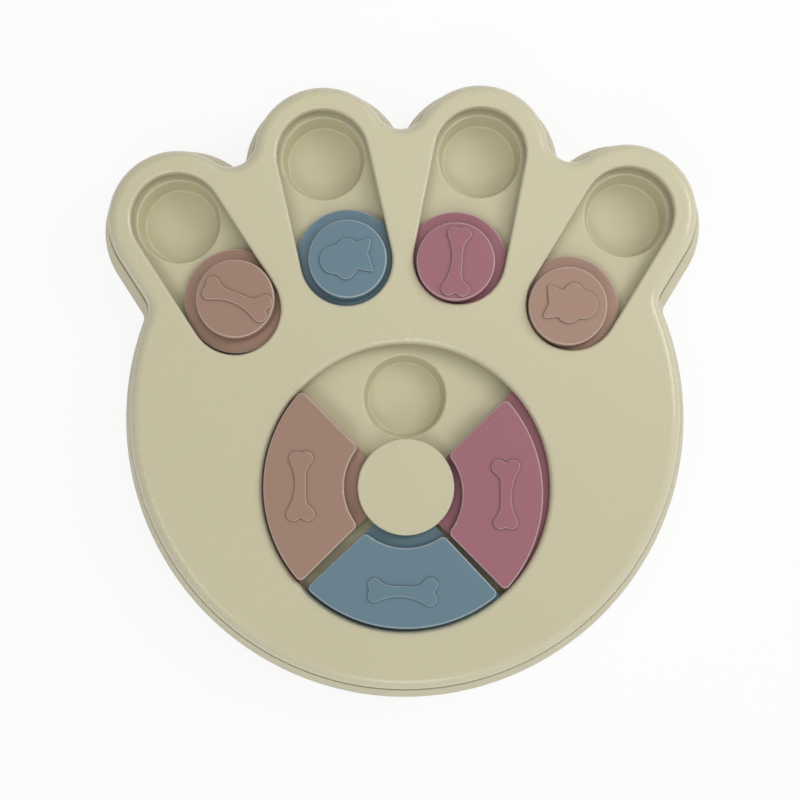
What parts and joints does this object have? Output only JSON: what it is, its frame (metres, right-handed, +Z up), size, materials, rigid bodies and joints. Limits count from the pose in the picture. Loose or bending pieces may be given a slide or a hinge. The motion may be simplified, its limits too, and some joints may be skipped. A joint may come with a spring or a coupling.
{
  "type": "dog puzzle feeder toy",
  "caption": "Paw-shaped treat puzzle: pucks slide along slots in the toes and quarter-ring blocks turn round a hub to uncover round treat wells.",
  "frame": {"origin": "middle of the outline, on the surface that the feet stand on", "axes": "+Z up, +Y towards the toes, +X to the right seen from above"},
  "size_m": [0.2566, 0.2622, 0.0339],
  "materials": {
    "body_cream": "satin moulded plastic, khaki cream",
    "taupe_pink": "fine matte moulded plastic, pinkish taupe",
    "taupe_pink_light": "fine matte moulded plastic, light pinkish taupe",
    "grey_blue": "fine matte moulded plastic, greyish blue",
    "mauve": "fine matte moulded plastic, dusty mauve",
    "steel": "plated screw",
    "rubber_foot": "soft matte rubber, pale"
  },
  "bodies": {
    "housing": {"base_tray": "body_cream", "top_cover": "body_cream", "hub_cap": "body_cream", "hub_screw": "steel", "cover_screws": "steel", "foot_1": "rubber_foot", "foot_2": "rubber_foot", "foot_3": "rubber_foot", "foot_4": "rubber_foot", "foot_5": "rubber_foot", "foot_6": "rubber_foot"},
    "puck_left_outer": {"puck_left_outer": "taupe_pink"},
    "puck_left_inner": {"puck_left_inner": "grey_blue"},
    "puck_right_inner": {"puck_right_inner": "mauve"},
    "puck_right_outer": {"puck_right_outer": "taupe_pink_light"},
    "slider_bottom": {"slider_bottom": "grey_blue"},
    "slider_right": {"slider_right": "mauve"},
    "slider_left": {"slider_left": "taupe_pink"}
  },
  "joints": [
    {"name": "slide_left_outer", "type": "slide", "parent": "housing", "child": "puck_left_outer", "axis": [0.5299, -0.848, 0], "range_m": [-0.0425, 0.0034]},
    {"name": "slide_left_inner", "type": "slide", "parent": "housing", "child": "puck_left_inner", "axis": [0.2079, -0.9781, 0], "range_m": [-0.0474, 0.0019]},
    {"name": "slide_right_inner", "type": "slide", "parent": "housing", "child": "puck_right_inner", "axis": [-0.2079, -0.9781, 0], "range_m": [-0.0489, 0.0001]},
    {"name": "slide_right_outer", "type": "slide", "parent": "housing", "child": "puck_right_outer", "axis": [-0.5299, -0.848, 0], "range_m": [-0.0488, 0.0001]},
    {"name": "ring_turn", "type": "hinge", "parent": "housing", "child": "slider_bottom", "pos_m": [0, -0.04185, 0.0264], "axis": [0, 0, 1], "continuous": true},
    {"name": "ring_right", "type": "hinge", "parent": "slider_bottom", "child": "slider_right", "pos_m": [0, -0.04185, 0.0264], "axis": [0, 0, 1], "range_deg": [-1.5, 93.8]},
    {"name": "ring_left", "type": "hinge", "parent": "slider_bottom", "child": "slider_left", "pos_m": [0, -0.04185, 0.0264], "axis": [0, 0, 1], "range_deg": [-93.8, 1.2]}
  ]
}
